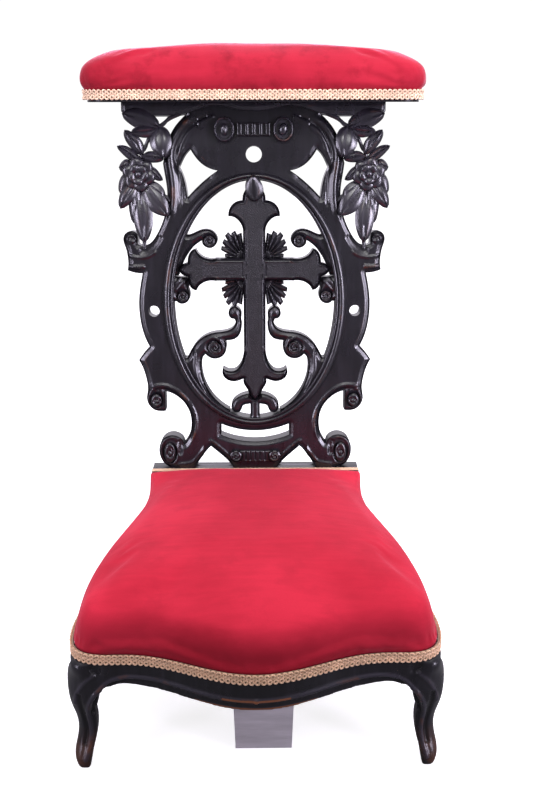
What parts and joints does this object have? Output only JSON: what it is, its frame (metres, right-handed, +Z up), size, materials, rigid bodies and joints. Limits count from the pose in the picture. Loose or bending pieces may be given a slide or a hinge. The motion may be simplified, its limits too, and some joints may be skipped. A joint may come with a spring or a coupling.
{
  "type": "church chair with kneeler",
  "caption": "Low church chair with a velvet kneeling seat, a carved and pierced back with a cross in an oval, and a padded velvet arm rest along the top.",
  "frame": {"origin": "on the floor, under the centre of the whole chair's bounding box", "axes": "+Z up; +X to the right of someone facing the front; +Y to the rear, from the kneeling seat towards the back"},
  "size_m": [0.518, 0.6334, 0.905],
  "materials": {
    "ebonised_wood": "ebonised and polished, semi-gloss, rubbed to brown at the edges",
    "beech": "bare sawn wood inside the frame",
    "grey_wood": "bare weathered wood",
    "velvet": "short cotton velvet with a sheen",
    "braid": "woven gimp braid with scalloped edges",
    "stuffing": "horsehair and wadding",
    "hessian": "coarse woven hessian",
    "webbing": "woven jute webbing",
    "steel": "plain steel screws"
  },
  "bodies": {
    "root": {"front_rail": "ebonised_wood", "inner_rail": "beech", "centre_support": "grey_wood", "rear_cleat": "beech", "corner_blocks": "beech", "rear_rail": "ebonised_wood", "side_rail_left": "ebonised_wood", "front_leg_left": "ebonised_wood", "rear_leg_left": "ebonised_wood", "side_board_left": "ebonised_wood", "side_rail_right": "ebonised_wood", "front_leg_right": "ebonised_wood", "rear_leg_right": "ebonised_wood", "side_board_right": "ebonised_wood", "seat_webbing": "webbing", "seat_hessian": "hessian", "seat_cover": "velvet", "seat_stuffing": "stuffing", "seat_braid": "braid", "rear_braid": "braid", "crest_board": "ebonised_wood", "base_board": "ebonised_wood", "top_batten": "ebonised_wood", "oval_moulding": "ebonised_wood", "cross_upright": "ebonised_wood", "cross_arm": "ebonised_wood", "sun_rays": "ebonised_wood", "upper_scroll_left": "ebonised_wood", "side_leaf_left": "ebonised_wood", "lower_scroll_left": "ebonised_wood", "crest_boss_left": "ebonised_wood", "flower_spray_left": "ebonised_wood", "upper_scroll_right": "ebonised_wood", "side_leaf_right": "ebonised_wood", "lower_scroll_right": "ebonised_wood", "crest_boss_right": "ebonised_wood", "flower_spray_right": "ebonised_wood", "foot_arch": "ebonised_wood", "crest_strap": "ebonised_wood", "base_cartouche": "ebonised_wood", "back_dowels": "beech", "rest_board": "ebonised_wood", "rest_screws": "steel", "rest_cover": "velvet", "rest_padding": "stuffing", "rest_braid": "braid"}
  },
  "joints": []
}
